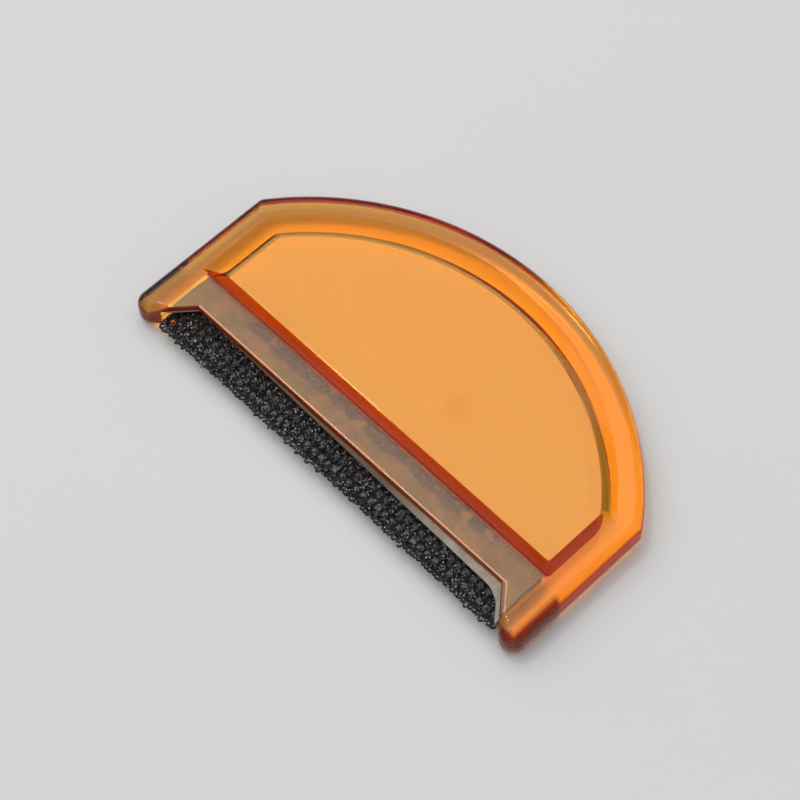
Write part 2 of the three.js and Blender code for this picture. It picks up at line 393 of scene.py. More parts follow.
def move(mesh, change):
    """Takes the points of a mesh to where a function puts them."""
    points = np.empty(len(mesh.vertices) * 3)
    mesh.vertices.foreach_get("co", points)
    mesh.vertices.foreach_set("co", change(points.reshape(-1, 3)).ravel())


def settle(piece, sharp=SHELL_SHARP):
    """Moves a piece from plan millimetres to the shared frame and shades it smooth up to an angle."""
    mesh = piece.data
    move(mesh, place)
    mesh.shade_smooth()
    mesh.set_sharp_from_angle(angle=math.radians(sharp))
    mesh.update()
    return piece


def turned_over(piece, name):
    """A twin of a piece in plan millimetres, turned over about the y axis."""
    twin = bpy.data.objects.new(name, piece.data.copy())
    bpy.context.scene.collection.objects.link(twin)
    move(twin.data, lambda points: points * (-1, 1, -1))
    return twin


# Net, tape and adhesive


def tubes(name, runs):
    """Closed tubes in one mesh. A run is a path, a radius, a direction never along it, and if it joins up."""
    points = []
    faces = []
    base = 0
    turn = 2 * math.pi * np.arange(STRAND_SIDES)[None, :, None] / STRAND_SIDES
    for path, radius, up, joined in runs:
        if joined:
            ahead = np.roll(path, -1, 0) - np.roll(path, 1, 0)
        else:
            ahead = np.gradient(path, axis=0)
        ahead /= np.linalg.norm(ahead, axis=1)[:, None]
        side = np.cross(ahead, up)
        side /= np.linalg.norm(side, axis=1)[:, None]
        over = np.cross(side, ahead)
        wheel = np.cos(turn) * side[:, None] + np.sin(turn) * over[:, None]
        points.append((path[:, None] + radius * wheel).reshape(-1, 3))
        count = len(path)
        index = base + np.arange(count * STRAND_SIDES).reshape(count, STRAND_SIDES)
        beyond = np.roll(index, -1, 0)
        quads = np.stack([index, beyond, np.roll(beyond, -1, 1), np.roll(index, -1, 1)], 2)
        faces += quads[:count if joined else -1].reshape(-1, 4).tolist()
        if not joined:
            faces += [index[0].tolist(), index[-1, ::-1].tolist()]
        base += count * STRAND_SIDES
    return make_object(name, np.concatenate(points), faces)


def plait(along, across, step, strand):
    """Side step and rise of one strand of a plait."""
    shift = random.uniform(-PLAIT_SHIFT, PLAIT_SHIFT)
    turn = 2 * math.pi * ((along - across) / step + strand / PLAIT) + shift
    return PLAIT_WIDTH * np.sin(turn), PLAIT_RISE * np.sin(2 * turn)


def wobble(along):
    """A slow sideways wander."""
    start = random.uniform(0, 2 * math.pi)
    return NET_JITTER * np.sin(WANDER_RATE * along + start)


def knot(x, y, size=KNOT_RADIUS, strand=KNOT_STRAND, tilt=1.0):
    """A small closed loop, tilted by chance."""
    axis = Vector((random.gauss(0, tilt), random.gauss(0, tilt), random.uniform(*KNOT_RISE))).normalized()
    first = axis.orthogonal().normalized()
    second = axis.cross(first)
    turn = 2 * math.pi * np.arange(KNOT_STEPS)[:, None] / KNOT_STEPS
    radius = size * random.uniform(*KNOT_SPREAD)
    centre = (x + random.gauss(0, NET_JITTER), y + random.gauss(0, NET_JITTER), 0)
    wheel = np.cos(turn) * np.array(first) + np.sin(turn) * np.array(second)
    path = np.array(centre) + radius * wheel
    return path, strand, np.array(axis), True


def hook(x, width):
    """A loop of strand that stands out of the front edge."""
    turn = math.pi * np.arange(HOOK_STEPS) / (HOOK_STEPS - 1)
    reach = random.uniform(0, HOOK_REACH)
    if random.random() < LONG_HOOK_SHARE:
        reach = LONG_HOOK_REACH
    lean = random.gauss(0, HOOK_LEAN)
    path = np.column_stack([
        x - width * np.cos(turn) + lean * np.sin(turn),
        HOOK_FOOT - (HOOK_FOOT - HOOK_TIP + reach) * np.sin(turn),
        random.uniform(*HOOK_HEIGHT) + random.gauss(0, HOOK_TWIST) * np.cos(turn),
    ])
    return path, STRAND_RADIUS, np.array((0, 0, 1)), False


def net_object(name):
    pitch = 2 * NET_END / NET_COLUMNS
    row_pitch = (NET_LAST_ROW - NET_FIRST_ROW) / NET_ROWS
    columns = [pitch * i - NET_END for i in range(NET_COLUMNS + 1)]
    rows = [NET_FIRST_ROW + row_pitch * j for j in range(NET_ROWS + 1)]
    up = np.array((0, 0, 1))
    runs = []
    along = np.arange(NET_FIRST_ROW - PLAIT_WIDTH, NET_BACK, STRAND_STEP)
    for x in columns:
        wander = wobble(along)
        for strand in range(PLAIT):
            aside, rise = plait(along, NET_FIRST_ROW, row_pitch, strand)
            runs.append((np.column_stack([x + wander + aside, along, rise]), STRAND_RADIUS, up, False))
    along = np.arange(-NET_END - PLAIT_WIDTH, NET_END + PLAIT_WIDTH, STRAND_STEP)
    for y in rows:
        wander = wobble(along)
        for strand in range(PLAIT):
            aside, rise = plait(along, -NET_END, pitch, strand)
            runs.append((np.column_stack([along, y + wander + aside, rise]), STRAND_RADIUS, up, False))
    for x in columns:
        for y in rows:
            runs += [knot(x, y) for loop in range(KNOT_LOOPS)]
    for x in columns[:-1]:
        for y in rows[:-1]:
            runs.append(knot(x + pitch / 2, y + row_pitch / 2, EYE_RADIUS, EYE_STRAND, EYE_TILT))
    for x in columns:
        runs.append(hook(x, HOOK_WIDTHS[0]))
        runs.append(hook(x + pitch / 2, HOOK_WIDTHS[1]))
    return tubes(name, runs)


def straight(p, q, x):
    return p[1] + (q[1] - p[1]) * (x - p[0]) / (q[0] - p[0])


def tape_front(x):
    """Front edge of the tape: straight stretches with soft bends, its ends along the slants of the lip."""
    slope = -math.tan(SLANT)
    stretches = np.array([
        TAPE_LEFT_BEND[1] + slope * (x - TAPE_LEFT_BEND[0]),
        straight(TAPE_LEFT_BEND, TAPE_RIGHT_BEND, x),
        straight(TAPE_RIGHT_BEND, TAPE_NOSE, x),
        TAPE_NOSE[1] - slope * (x - TAPE_NOSE[0]),
    ])
    return -TAPE_BEND_SOFTNESS * np.log(np.exp(-stretches / TAPE_BEND_SOFTNESS).sum())


def tape_section(x):
    """Outer and inner line of the folded tape from its upper to its lower front edge, and the two tips."""
    front = tape_front(x)
    fold = straight((-TAPE_END, TAPE_BACK_LEFT), (TAPE_END, TAPE_BACK_RIGHT), x) - TAPE_OUTER
    pitch = 2 * NET_END / NET_COLUMNS
    y = np.linspace(front + TAPE_EDGE, fold, TAPE_STEPS)
    rise = EMBOSS * np.exp(-((y - EMBOSS_Y) / EMBOSS_REACH) ** 2)
    rise *= math.cos(2 * math.pi * (x + NET_END) / pitch)
    turn = math.pi / 2 - math.pi * np.arange(1, FOLD_STEPS) / FOLD_STEPS
    lines = []
    for height in (TAPE_OUTER, TAPE_INNER):
        bend = np.column_stack([fold + height * np.cos(turn), height * np.sin(turn)])
        upper = np.column_stack([y, height + rise])
        lines.append(np.concatenate([upper, bend, (upper * (1, -1))[::-1]]))
    middle = (TAPE_OUTER + TAPE_INNER) / 2
    return lines[0], lines[1], (front, middle), (front, -middle)


def tape_object(name):
    points = []
    for x in np.linspace(-TAPE_END, TAPE_END, TAPE_STATIONS):
        outer, inner, upper_tip, lower_tip = tape_section(x)
        section = np.concatenate([[upper_tip], outer, [lower_tip], inner[::-1]])
        points.append(np.column_stack([np.full(len(section), x), section]))
    count = len(points[0])
    half = count // 2
    faces = bands(TAPE_STATIONS, count)
    last = (TAPE_STATIONS - 1) * count
    for i in range(half):
        a, b = i, i + 1
        c, d = (count - i - 1) % count, (count - i) % count
        start = (b, a, d, c) if i else (b, a, c)
        if b == c:
            start = (b, a, d)
        faces.append(start)
        faces.append(tuple(last + k for k in start[::-1]))
    return make_object(name, np.concatenate(points), faces)


def uneven(middle, waves):
    """An edge of the bed: three waves on top of each other."""
    return middle + BED_WAVE * sum(share * wave for share, wave in zip(BED_WAVE_SHARES, waves)) / 2


def bed_object(name):
    """A thin bed with an uneven outline and an uneven top."""
    points = []
    starts = [random.uniform(0, 2 * math.pi) for rate in BED_WAVE_RATES]
    x = np.linspace(-BED_END, BED_END, BED_STATIONS)
    waves = [np.sin(rate * x + start) for rate, start in zip(BED_WAVE_RATES, starts)]
    front = uneven(BED_FRONT, waves[:3])
    front += math.tan(SLANT) * np.maximum(np.abs(x) - LIP_END, 0)
    back = uneven(BED_BACK, waves[3:])
    share = np.linspace(0, 1, BED_STEPS)
    for i in range(BED_STATIONS):
        y = front[i] + (back[i] - front[i]) * share
        swell = np.sqrt(np.sin(math.pi * np.clip(share, BED_BRINK, 1 - BED_BRINK)))
        ripple = sum(size * np.sin(rate * y + skew * x[i]) for size, rate, skew in BED_RIPPLES)
        top = BED_BOTTOM + (BED_TOP - BED_BOTTOM) * swell + np.minimum(ripple, 0)
        low = np.full(BED_STEPS, BED_BOTTOM)
        points.append(np.column_stack([
            np.full(2 * BED_STEPS, x[i]), np.concatenate([y, y[::-1]]), np.concatenate([top, low])]))
    count = 2 * BED_STEPS
    faces = bands(BED_STATIONS, count, flip=True)
    last = (BED_STATIONS - 1) * count
    for i in range(BED_STEPS - 1):
        quad = (i, i + 1, count - i - 2, count - i - 1)
        faces.append(quad)
        faces.append(tuple(last + k for k in quad[::-1]))
    return make_object(name, np.concatenate(points), faces)


# Materials


def feed(tree, socket, value):
    """Links a socket to an output of another node, or sets its value."""
    if isinstance(value, bpy.types.NodeSocket):
        tree.links.new(value, socket)
    else:
        socket.default_value = value


class Nodes:
    """Short way to add nodes to a material."""

    def __init__(self, name):
        self.material = bpy.data.materials.new(name)
        self.material.use_nodes = True
        self.tree = self.material.node_tree
        self.tree.nodes.clear()
        self.out = self.add("ShaderNodeOutputMaterial")

    def add(self, kind, **inputs):
        made = self.tree.nodes.new(kind)
        for key, value in inputs.items():
            if hasattr(made, key):
                setattr(made, key, value)
            else:
                feed(self.tree, made.inputs[key.replace("_", " ")], value)
        return made

    def link(self, source, target):
        self.tree.links.new(source, target)

    def math(self, operation, *values):
        made = self.add("ShaderNodeMath", operation=operation)
        for socket, value in zip(made.inputs, values):
            feed(self.tree, socket, value)
        return made.outputs[0]

    def fade(self, value, start, end):
        """Rises from 0 at the start to 1 at the end."""
        made = self.add("ShaderNodeMapRange", Value=value)
        made.inputs["From Min"].default_value = start
        made.inputs["From Max"].default_value = end
        return made.outputs["Result"]

    def spread(self, value, low, high, flip=False):
        """Takes a value from 0 to 1 to the range from low to high, or back from high to low."""
        made = self.add("ShaderNodeMapRange", Value=value)
        made.inputs["To Min"].default_value = high if flip else low
        made.inputs["To Max"].default_value = low if flip else high
        return made.outputs["Result"]

    def ramp(self, share, stops):
        made = self.add("ShaderNodeValToRGB", Fac=share)
        points = made.color_ramp.elements
        while len(points) < len(stops):
            points.new(1)
        for point, (place_on_ramp, colour) in zip(points, stops.items()):
            point.position = place_on_ramp
            point.color = colour
        return made.outputs["Color"]

    def noise(self, where, scale, detail, roughness=0.5):
        made = self.add("ShaderNodeTexNoise", Vector=where, Scale=scale, Detail=detail, Roughness=roughness)
        return made.outputs["Fac"]

    def mix(self, share, first, second):
        made = self.add("ShaderNodeMix", data_type="RGBA")
        sockets = (made.inputs["Factor"], made.inputs[6], made.inputs[7])
        for socket, value in zip(sockets, (share, first, second)):
            feed(self.tree, socket, value)
        return made.outputs[2]


# Amber. A tint colours the light that passes the skin; places and depths are in plan millimetres.
# A cloud, patch or grain is noise, given as scale, detail and at times roughness.
AMBER_IOR = 1.3
AMBER_CLOUD = (60.0, 3.0)
AMBER_ROUGH = (0.03, 0.10)
AMBER_COAT = 0.2
AMBER_COAT_ROUGH = 0.03
AMBER_DEPTH_COLOUR = (0.985, 0.82, 0.0, 1)
AMBER_DEPTH = 240.0
AMBER_TINT = (1.0, 0.825, 0.53, 1)
NO_TINT = (1, 1, 1, 1)
# Painted grey shade in the fused ring round the web gap
RING_SHADE = (0.9, 0.81, 0.7, 1)
TOUCH_TINT = (0.98, 0.78, 0.36, 1)
TOUCH_SPOT = (8.0, 26.5)
TOUCH_REACH = 5.5

# Painted deep red shade on the front and the right wall of the recess; the leaf is the tapering end of the
# right one
WALL_SHADE = (0.3, 0.02, 0.0, 1)
BRINK_CLEAR = 0.12
FLOOR_CLEAR = 0.02
LEAF_START = 23.0
LEAF_TIP = 29.3
LEAF_TAPER = 2.2

# Painted dark shade at the outer edge and on the front of the lip, and a painted dark outline. The full
# shares are parts of the skin depths.
EDGE_SHADE = (0.18, 0.006, 0.0, 1)
EDGE_SKIN = 0.6
LIP_SKIN = 0.3
EDGE_FULL = 0.4
CLEAR_WALL = 2.6
OUTLINE_SHADE = (0.22, 0.005, 0.0, 1)
OUTLINE_SKIN = 0.72
OUTLINE_FULL = 0.75
OUTLINE_THINNING = 0.03
# Painted dark shade on the horns, weaker on the left one
HORN_SHADE = (0.12, 0.012, 0.0, 1)
HORN_BACK = 11.5
HORN_FADE = 0.5
HORN_SKIN = 2.2
HORN_FULL = 0.5
LEFT_HORN_SHARE = 0.25

# Lamp light that reaches what lies under the amber and the net
WEB_LIGHT = (0.93, 0.785, 0.46, 1)
RIM_LIGHT = (1.15, 1.0, 0.85, 1)
NO_LIGHT = (0.0, 0.0, 0.0, 1)
DARK_SKIN = 1.2
NET_LIGHT = (0.75, 0.75, 0.75, 1)

# Net thread
NET_CELLS = 3200.0
NET_CLOUD = (900.0, 1.0)
NET_TONES = {0.35: (0.004, 0.004, 0.005, 1), 0.7: (0.016, 0.015, 0.014, 1)}
NET_ROUGH = (0.08, 0.3)
NET_RIDGE = 0.00006
# Painted glints: small light spots on the thread
GLINT_TONE = (0.5, 0.5, 0.5, 1)
GLINT_CHANCE = 0.93
GLINT_REACH = (0.55, 0.3)

# Tape
WARP_SCALE = 480.0
WEFT_SCALE = 560.0
WEAVE_DISTORTION = 0.6
WEAVE_DETAIL = 1.0
WEAVE_GAP = (0.16, 0.13, 0.1, 1)
WEAVE_GAP_SHARE = 0.35
WEAVE_RELIEF = 0.00005
TAPE_CLOUD = (420.0, 4.0)
TAPE_TONES = {0.3: (0.29, 0.24, 0.2, 1), 0.5: (0.36, 0.325, 0.28, 1), 0.75: (0.43, 0.4, 0.36, 1)}
TAPE_ROUGH = (0.75, 0.95)
# Painted brown shade on the tape where it lies in shade under the lip
TAPE_SHADE = (0.13, 0.085, 0.06, 1)
TAPE_SHADE_START = 10.0
TAPE_SHADE_END = 26.0

# Adhesive: grey brown ground, a purple grey strip along the back, flakes, and a painted highlight line behind
# the lip
GLUE_PATCH = (330.0, 4.0, 0.6)
GLUE_GRAIN = (3200.0, 2.0)
GLUE_TONES = {0.35: (0.16, 0.115, 0.26, 1), 0.5: (0.11, 0.087, 0.26, 1), 0.65: (0.08, 0.072, 0.25, 1)}
GLUE_GRAIN_TONE = (0.3, 0.22, 0.3, 1)
GLUE_GRAIN_RANGE = (0.5, 0.68)
GLUE_GRAIN_SHARE = 0.35
GLUE_ROUGH = (0.35, 0.7)
GLUE_RELIEF = 0.00002
GLUE_SWAY = 2.2
GLUE_STRIP_TONES = {0.36: (0.01, 0.015, 0.2, 1), 0.5: (0.035, 0.04, 0.28, 1), 0.66: (0.16, 0.115, 0.38, 1)}
GLUE_STRIP_FRONT = 10.8
GLUE_STRIP_FADE = 0.3
GLUE_STRIP_MIDDLE = 1.5
GLUE_STRIP_HALF = 30.5
GLUE_STRIP_END_FADE = 1.0
GLUE_STRIP_PATCH = (0.36, 0.5)
GLUE_CRACK = 1500.0
GLUE_CRACK_WIDTH = 0.12
GLUE_FLAKE_GRAIN = 0.52
GLUE_FLAKE = (0.22, 0.15, 0.22, 1)
GLUE_FLAKE_FRONT = 12.6
GLUE_FLAKE_END = (29.5, 32.5)
GLUE_FLAKE_END_FRONT = 9.8
LIP_HIGHLIGHT_SPAN = (0.72, 0.95)
LIP_HIGHLIGHT_TONE = (0.5, 0.4, 0.95, 1)

# Table
TABLE_CLOUD = (14.0, 4.0)
TABLE_GRAIN = (1800.0, 2.0)
TABLE_TONES = {0.25: (0.643, 0.645, 0.645, 1), 0.75: (0.657, 0.659, 0.659, 1)}
TABLE_ROUGH = (0.9, 1.0)
TABLE_RELIEF = 0.00002


def soak(n):
    """Gives a material the depth of colour of the amber."""
    depth = n.add("ShaderNodeVolumeAbsorption", Color=AMBER_DEPTH_COLOUR, Density=AMBER_DEPTH)
    n.link(depth.outputs[0], n.out.inputs["Volume"])


def let_lamps_pass(n, surface, light):
    """Shows the surface, and lets lamp light of this colour through to what lies under it."""
    clear = n.add("ShaderNodeBsdfTransparent", Color=light)
    path = n.add("ShaderNodeLightPath")
    mix = n.add("ShaderNodeMixShader", Fac=path.outputs["Is Shadow Ray"])
    n.link(surface.outputs[0], mix.inputs[1])
    n.link(clear.outputs[0], mix.inputs[2])
    n.link(mix.outputs[0], n.out.inputs["Surface"])


def distances(n, spot, inset, front):
    """How far a point lies from the left, right, back and front of the outline drawn in by the inset."""
    to_right = n.math("SUBTRACT", (WIDTH / 2 - inset) * MM, spot.outputs["X"])
    to_left = n.math("ADD", (WIDTH / 2 - inset) * MM, spot.outputs["X"])
    to_front = n.math("SUBTRACT", spot.outputs["Y"], at_y(front))
    from_centre = n.math("SUBTRACT", spot.outputs["Y"], at_y(ARC_CENTRE))
    squares = n.math("ADD", n.math("POWER", spot.outputs["X"], 2), n.math("POWER", from_centre, 2))
    to_back = n.math("SUBTRACT", (ARC_RADIUS - inset) * MM, n.math("SQRT", squares))
    return to_left, to_right, to_back, to_front


def nearest(n, values):
    first = values[0]
    for value in values[1:]:
        first = n.math("MINIMUM", first, value)
    return first


def both(n, first, second):
    """Product of two shares."""
    return n.math("MULTIPLY", first, second)


def floor_distance(n, spot):
    return nearest(n, distances(n, spot, RIM_WIDTH + RECESS_WALL_RUN, RECESS_FRONT + RECESS_FRONT_RUN))


def mouth_distance(n, spot):
    """How far behind the lip or beside its slants a point lies."""
    behind = n.math("SUBTRACT", spot.outputs["Y"], at_y(LIP_DEPTH))
    beside = n.math("SUBTRACT", n.math("ABSOLUTE", spot.outputs["X"]), LIP_END * MM)
    across = n.math("MULTIPLY", beside, -math.sin(SLANT))
    return n.math("MAXIMUM", behind, n.math("ADD", across, n.math("MULTIPLY", behind, math.cos(SLANT))))


def touch_share(n, where):
    """Fades from 1 at the spot where the webs touch."""
    off_spot = n.add("ShaderNodeVectorMath", operation="DISTANCE")
    n.link(where, off_spot.inputs[0])
    off_spot.inputs[1].default_value = (TOUCH_SPOT[0] * MM, at_y(TOUCH_SPOT[1]), (HALF + FLOOR_Z) * MM)
    return n.math("POWER", n.fade(off_spot.outputs["Value"], TOUCH_REACH * MM, 0), 2)


def painted_wall_shade(n, spot):
    """1 on the front and the right wall of the upper recess, where a deep red shade is painted, else 0."""
    left, right, back, front = distances(n, spot, RIM_WIDTH, RECESS_FRONT)
    front = n.math("MULTIPLY", front, RECESS_WALL_RUN / RECESS_FRONT_RUN)
    own = nearest(n, (right, front))
    is_own = n.math("LESS_THAN", own, nearest(n, (left, back)))
    leaf = n.fade(spot.outputs["Y"], at_y(LEAF_START), at_y(LEAF_TIP))
    leaf = n.math("MULTIPLY", n.math("POWER", leaf, LEAF_TAPER), RECESS_WALL_RUN * MM)
    leaf = n.math("MAXIMUM", leaf, BRINK_CLEAR * MM)
    on_wall = both(n, n.math("LESS_THAN", own, RECESS_WALL_RUN * MM), n.math("GREATER_THAN", own, leaf))
    upper = n.math("GREATER_THAN", spot.outputs["Z"], (HALF + FLOOR_Z - FLOOR_CLEAR) * MM)
    return both(n, both(n, is_own, on_wall), upper)


def painted_edge_shade(n, spot, sides, tint_and_shade):
    """Adds painted dark shade at the right and the front edge and a painted dark outline. At the left and the
    back the lower wall stays clear and lets light pass.
    """
    left, right, back, front = sides
    clear_wall = n.math("MULTIPLY", n.math("LESS_THAN", spot.outputs["Z"], CLEAR_WALL * MM), WIDTH * MM)
    far_edge = n.math("ADD", nearest(n, (left, back)), clear_wall)
    edge = nearest(n, (right, front, far_edge))
    tint_and_shade = n.mix(n.fade(edge, EDGE_SKIN * MM, EDGE_FULL * EDGE_SKIN * MM), tint_and_shade, EDGE_SHADE)
    thinning = n.math("MULTIPLY", n.math("MAXIMUM", spot.outputs["X"], 0), OUTLINE_THINNING)
    outline = n.math("ADD", n.math("MINIMUM", left, n.math("ADD", back, thinning)), clear_wall)
    return n.mix(n.fade(outline, OUTLINE_SKIN * MM, OUTLINE_FULL * OUTLINE_SKIN * MM), tint_and_shade, OUTLINE_SHADE)


def horn_shade_share(n, spot, skin):
    """1 in the skin of the right horn, less on the left horn, else 0; the share of painted dark shade there.
    """
    near_tip = n.fade(spot.outputs["Y"], at_y(HORN_BACK + HORN_FADE), at_y(HORN_BACK - HORN_FADE))
    in_skin = n.fade(skin, HORN_SKIN * MM, HORN_FULL * HORN_SKIN * MM)
    is_right = n.math("GREATER_THAN", spot.outputs["X"], 0)
    return both(n, both(n, near_tip, in_skin), n.spread(is_right, LEFT_HORN_SHARE, 1.0))


def amber():
    """Glossy translucent amber, with painted dark shade on its near walls, outer edges and horns. Lamps shine
    straight through it, tinted.
    """
    n = Nodes("amber_plastic")
    where = n.add("ShaderNodeTexCoord").outputs["Object"]
    spot = n.add("ShaderNodeSeparateXYZ", Vector=where)
    sides = distances(n, spot, 0, 0)
    skin = nearest(n, sides)
    tint_and_shade = n.mix(touch_share(n, where), AMBER_TINT, TOUCH_TINT)
    # Painted deep red shade on the near walls of the recess
    tint_and_shade = n.mix(painted_wall_shade(n, spot), tint_and_shade, WALL_SHADE)
    # Painted dark shade on the front face of the lip
    tint_and_shade = n.mix(n.fade(mouth_distance(n, spot), LIP_SKIN * MM, EDGE_FULL * LIP_SKIN * MM), tint_and_shade, EDGE_SHADE)
    tint_and_shade = painted_edge_shade(n, spot, sides, tint_and_shade)
    # Painted dark shade on the horns
    tint_and_shade = n.mix(horn_shade_share(n, spot, skin), tint_and_shade, HORN_SHADE)
    rough = n.spread(n.noise(where, *AMBER_CLOUD), *AMBER_ROUGH)
    glass = n.add("ShaderNodeBsdfPrincipled", Base_Color=tint_and_shade, Roughness=rough, IOR=AMBER_IOR)
    glass.inputs["Transmission Weight"].default_value = 1.0
    glass.inputs["Coat Weight"].default_value = AMBER_COAT
    glass.inputs["Coat Roughness"].default_value = AMBER_COAT_ROUGH
    light = n.mix(n.math("GREATER_THAN", floor_distance(n, spot), 0), RIM_LIGHT, WEB_LIGHT)
    light = n.mix(n.math("GREATER_THAN", skin, DARK_SKIN * MM), NO_LIGHT, light)
    let_lamps_pass(n, glass, light)
    soak(n)
    return n.material


def bond():
    """Where the halves are fused: light passes without a break, with a painted grey shade in the ring round
    the web gap.
    """
    n = Nodes("amber_bond")
    spot = n.add("ShaderNodeSeparateXYZ", Vector=n.add("ShaderNodeTexCoord").outputs["Object"])
    # Painted grey shade in the ring round the web gap
    tint_and_shade = n.mix(n.math("GREATER_THAN", floor_distance(n, spot), 0), NO_TINT, RING_SHADE)
    n.link(n.add("ShaderNodeBsdfTransparent", Color=tint_and_shade).outputs[0], n.out.inputs["Surface"])
    soak(n)
    return n.material


def bumped(n, height, distance):
    return n.add("ShaderNodeBump", Height=height, Distance=distance).outputs["Normal"]


def finished(n, colour, rough, normal):
    skin = n.add("ShaderNodeBsdfPrincipled", Base_Color=colour, Roughness=rough, Normal=normal)
    n.link(skin.outputs[0], n.out.inputs["Surface"])
    return n.material


def net_thread():
    """Black filament: glossy, ridged, with small painted glints. Some lamp light passes between its fibres.
    """
    n = Nodes("black_mesh")
    where = n.add("ShaderNodeTexCoord").outputs["Object"]
    cells = n.add("ShaderNodeTexVoronoi", Vector=where, Scale=NET_CELLS)
    cloud = n.noise(where, *NET_CLOUD)
    chance = n.add("ShaderNodeSeparateColor", Color=cells.outputs["Color"]).outputs[0]
    near = n.fade(cells.outputs["Distance"], *GLINT_REACH)
    glint = both(n, n.math("GREATER_THAN", chance, GLINT_CHANCE), near)
    colour = n.mix(glint, n.ramp(cloud, NET_TONES), GLINT_TONE)
    skin = n.add("ShaderNodeBsdfPrincipled", Base_Color=colour, Roughness=n.spread(cloud, *NET_ROUGH))
    n.link(bumped(n, cells.outputs["Distance"], NET_RIDGE), skin.inputs["Normal"])
    let_lamps_pass(n, skin, NET_LIGHT)
    return n.material


def tape_cloth():
    """Woven tape of crossing threads, uneven in tone, with a painted brown shade but for its pale right end.
    """
    n = Nodes("woven_tape")
    where = n.add("ShaderNodeTexCoord").outputs["Object"]
    threads = []
    for direction, scale in (("X", WARP_SCALE), ("Y", WEFT_SCALE)):
        wave = n.add("ShaderNodeTexWave", Vector=where, Scale=scale, bands_direction=direction)
        wave.inputs["Distortion"].default_value = WEAVE_DISTORTION
        wave.inputs["Detail"].default_value = WEAVE_DETAIL
        threads.append(wave.outputs["Fac"])
    weave = n.math("MAXIMUM", *threads)
    cloud = n.noise(where, *TAPE_CLOUD)
    along = n.add("ShaderNodeSeparateXYZ", Vector=where).outputs["X"]
    painted_shade = n.fade(along, TAPE_SHADE_END * MM, TAPE_SHADE_START * MM)
    tone = n.mix(painted_shade, n.ramp(cloud, TAPE_TONES), TAPE_SHADE)
    colour = n.mix(n.spread(weave, 0.0, WEAVE_GAP_SHARE, flip=True), tone, WEAVE_GAP)
    return finished(n, colour, n.spread(cloud, *TAPE_ROUGH), bumped(n, weave, WEAVE_RELIEF))


def glue_strip(n, spot, depth, sway, patch):
    """1 in the purple grey strip, with a wavy outline and gaps, else 0."""
    fade, end_fade = GLUE_STRIP_FADE, GLUE_STRIP_END_FADE
    behind = n.fade(depth, at_y(GLUE_STRIP_FRONT - fade), at_y(GLUE_STRIP_FRONT + fade))
    off_middle = n.math("ABSOLUTE", n.math("SUBTRACT", spot.outputs["X"], GLUE_STRIP_MIDDLE * MM))
    along = n.math("ADD", off_middle, sway)
    inside = n.fade(along, (GLUE_STRIP_HALF + end_fade) * MM, (GLUE_STRIP_HALF - end_fade) * MM)
    return both(n, both(n, behind, inside), n.fade(patch, *GLUE_STRIP_PATCH))


def glue_flakes(n, where, spot, depth, grain):
    """1 on the flakes along the back edge and past the right end of the strip, else 0."""
    crack = n.add("ShaderNodeTexVoronoi", Vector=where, Scale=GLUE_CRACK, feature="DISTANCE_TO_EDGE")
    cracked = n.math("LESS_THAN", crack.outputs["Distance"], GLUE_CRACK_WIDTH)
    flaked = both(n, cracked, n.math("GREATER_THAN", grain, GLUE_FLAKE_GRAIN))
    rim = n.fade(depth, at_y(GLUE_FLAKE_FRONT), at_y(BED_BACK))
    end = n.fade(spot.outputs["X"], GLUE_FLAKE_END[0] * MM, GLUE_FLAKE_END[1] * MM)
    end = both(n, end, n.math("GREATER_THAN", depth, at_y(GLUE_FLAKE_END_FRONT)))
    return both(n, flaked, n.math("MAXIMUM", rim, end))


def dried_glue():
    """Patchy grey brown adhesive, as it shows through the lip."""
    n = Nodes("adhesive")
    where = n.add("ShaderNodeTexCoord").outputs["Object"]
    spot = n.add("ShaderNodeSeparateXYZ", Vector=where)
    patch = n.noise(where, *GLUE_PATCH)
    grain = n.noise(where, *GLUE_GRAIN)
    sway = n.math("MULTIPLY", n.math("SUBTRACT", patch, 0.5), GLUE_SWAY * MM)
    depth = n.math("ADD", spot.outputs["Y"], sway)
    grained = n.math("MULTIPLY", n.fade(grain, *GLUE_GRAIN_RANGE), GLUE_GRAIN_SHARE)
    colour = n.mix(grained, n.ramp(patch, GLUE_TONES), GLUE_GRAIN_TONE)
    colour = n.mix(glue_strip(n, spot, depth, sway, patch), colour, n.ramp(grain, GLUE_STRIP_TONES))
    colour = n.mix(glue_flakes(n, where, spot, depth, grain), colour, GLUE_FLAKE)
    # Painted highlight: a pale line just behind the lip's front edge
    behind_lip = mouth_distance(n, spot)
    start, end = (n.math("GREATER_THAN", behind_lip, edge * MM) for edge in LIP_HIGHLIGHT_SPAN)
    colour = n.mix(n.math("SUBTRACT", start, end), colour, LIP_HIGHLIGHT_TONE)
    return finished(n, colour, n.spread(grain, *GLUE_ROUGH), bumped(n, grain, GLUE_RELIEF))


def table_top():
    """Pale matt board with a faint uneven tone."""
    n = Nodes("table")
    where = n.add("ShaderNodeTexCoord").outputs["Object"]
    colour = n.ramp(n.noise(where, *TABLE_CLOUD), TABLE_TONES)
    grain = n.noise(where, *TABLE_GRAIN)
    return finished(n, colour, n.spread(grain, *TABLE_ROUGH), bumped(n, grain, TABLE_RELIEF))


def dress(piece, *materials):
    piece.data.materials.clear()
    for material in materials:
        piece.data.materials.append(material)
    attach(piece, "root")
    return piece


# Pieces

amber_plastic = amber()
amber_bond = bond()
upper = shell_object("upper_shell_moulding")
lower = turned_over(upper, "lower_shell_moulding")
for shell, node in ((upper, "upper_shell"), (lower, "lower_shell")):
    dress(settle(shell), amber_plastic, amber_bond)
    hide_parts(node)

